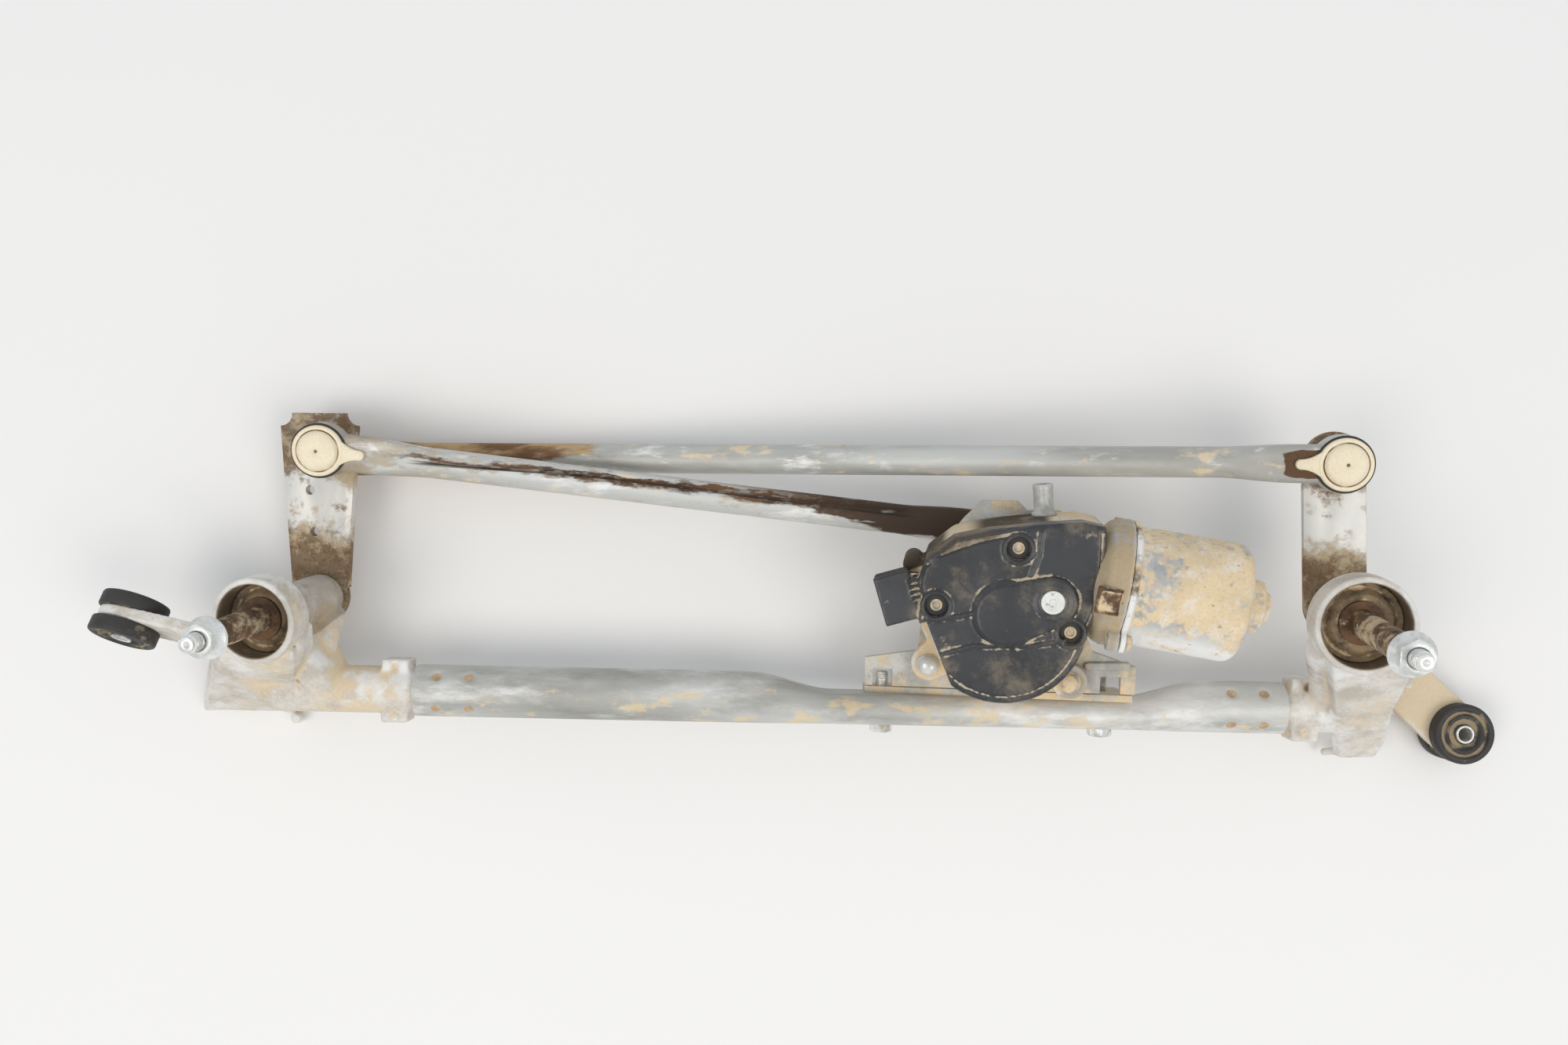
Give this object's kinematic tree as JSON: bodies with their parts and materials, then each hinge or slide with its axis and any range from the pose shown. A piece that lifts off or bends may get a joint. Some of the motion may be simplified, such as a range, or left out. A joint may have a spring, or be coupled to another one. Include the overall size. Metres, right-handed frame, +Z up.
{
  "type": "windscreen wiper linkage with motor",
  "caption": "Vehicle wiper linkage: a tube frame with cast pivot housings and rubber mounts carries a gear motor whose crank drives both wiper shafts by ball-jointed rods.",
  "frame": {"origin": "centre of the bolt hole of the right mounting bush, at its lower face on the table", "axes": "+X along the frame tube toward the right mounting bush, +Y toward the rods, +Z up along the right bolt hole"},
  "size_m": [0.6527, 0.1571, 0.1638],
  "materials": {
    "zinc_tube": "dull zinc with stains",
    "cast_housing": "die cast, dusty",
    "bronze": "oiled sintered bronze",
    "seal_rubber": "matt",
    "bush_rubber": "matt, dusty",
    "sleeve_steel": "zinc plated",
    "bracket_steel": "worn coating",
    "bolt_steel": "zinc plated",
    "peg_metal": "dull, unpainted",
    "gear_casting": "die cast",
    "cover_plastic": "black, dusty",
    "vent_plastic": "white",
    "pin_brass": "tinned",
    "yoke_paint": "grey paint under dust",
    "magnet_ferrite": "ferrite grey",
    "holder_plastic": "brown moulding",
    "brush_carbon": "carbon",
    "shaft_steel": "ground",
    "wheel_plastic": "natural",
    "lever_steel": "zinc with brown stains",
    "nut_zinc": "bright zinc",
    "stud_steel": "bright",
    "core_iron": "laminated",
    "copper_wire": "copper",
    "pivot_steel": "brown surface rust",
    "clip_steel": "dark",
    "rod_steel": "zinc with stains",
    "socket_plastic": "cream"
  },
  "bodies": {
    "frame": {"frame_tube": "zinc_tube", "left_housing": "cast_housing", "right_housing": "cast_housing", "left_shaft_bush": "bronze", "right_shaft_bush": "bronze", "left_seal": "seal_rubber", "right_seal": "seal_rubber", "left_bush": "bush_rubber", "right_bush": "bush_rubber", "left_bush_sleeve": "sleeve_steel", "right_bush_sleeve": "sleeve_steel", "motor_bracket": "bracket_steel", "bracket_bolts": "bolt_steel", "motor_bolts": "bolt_steel", "locating_peg": "peg_metal", "gear_housing": "gear_casting", "gear_cover": "cover_plastic", "cover_screws": "bolt_steel", "vent_plug": "vent_plastic", "connector_pins": "pin_brass", "output_bush": "bronze", "motor_yoke": "yoke_paint", "yoke_screws": "bolt_steel", "field_magnets": "magnet_ferrite", "brush_holder": "holder_plastic", "brushes": "brush_carbon", "front_bearing": "bronze", "rear_bearing": "bronze"},
    "crank": {"output_shaft": "shaft_steel", "worm_wheel": "wheel_plastic", "crank_arm": "lever_steel", "crank_nut": "nut_zinc", "crank_rivet": "stud_steel"},
    "armature": {"armature_shaft": "shaft_steel", "armature_core": "core_iron", "windings": "copper_wire", "commutator": "copper_wire"},
    "left_lever": {"left_shaft": "pivot_steel", "left_lever": "lever_steel", "drive_ball_stud": "stud_steel", "left_link_stud": "stud_steel", "left_arm_nut": "nut_zinc", "left_clip": "clip_steel"},
    "right_lever": {"right_shaft": "pivot_steel", "right_lever": "lever_steel", "right_link_stud": "stud_steel", "right_arm_nut": "nut_zinc", "right_clip": "clip_steel"},
    "drive_rod": {"drive_rod": "rod_steel", "drive_socket": "socket_plastic", "crank_socket": "socket_plastic", "crank_ball_stud": "stud_steel"},
    "link_rod": {"link_rod": "rod_steel", "left_link_socket": "socket_plastic", "right_link_socket": "socket_plastic"}
  },
  "joints": [
    {"name": "crank_turn", "type": "hinge", "parent": "frame", "child": "crank", "pos_m": [-0.23111, 0.05619, 0.05127], "axis": [-0.133, -0.1219, 0.9836], "range_deg": [-65, 65]},
    {"name": "armature_spin", "type": "hinge", "parent": "frame", "child": "armature", "pos_m": [-0.16199, 0.06863, 0.08656], "axis": [0.9818, -0.1518, 0.1139], "range_deg": [-4050, 4050]},
    {"name": "left_lever_swing", "type": "hinge", "parent": "frame", "child": "left_lever", "pos_m": [-0.5491, 0.0554, 0.0156], "axis": [-0.133, -0.1219, 0.9836], "range_deg": [-25.89, 25.89]},
    {"name": "right_lever_swing", "type": "hinge", "parent": "frame", "child": "right_lever", "pos_m": [-0.07828, 0.06229, 0.05164], "axis": [-0.133, -0.1219, 0.9836], "range_deg": [-25.89, 25.89]},
    {"name": "drive_rod_pivot", "type": "hinge", "parent": "left_lever", "child": "drive_rod", "pos_m": [-0.54275, 0.12407, 0.04327], "axis": [-0.133, -0.1219, 0.9836], "range_deg": [-25.89, 25.89]},
    {"name": "link_rod_pivot", "type": "hinge", "parent": "left_lever", "child": "link_rod", "pos_m": [-0.55241, 0.1221, 0.0102], "axis": [-0.133, -0.1219, 0.9836], "range_deg": [-25.89, 25.89]}
  ],
  "couplings": [
    {"joint": "armature_spin", "follows": "crank_turn", "ratio": 62},
    {"joint": "left_lever_swing", "follows": "crank_turn", "ratio": 0.389},
    {"joint": "right_lever_swing", "follows": "crank_turn", "ratio": 0.389},
    {"joint": "drive_rod_pivot", "follows": "crank_turn", "ratio": -0.3911},
    {"joint": "link_rod_pivot", "follows": "crank_turn", "ratio": -0.389}
  ]
}
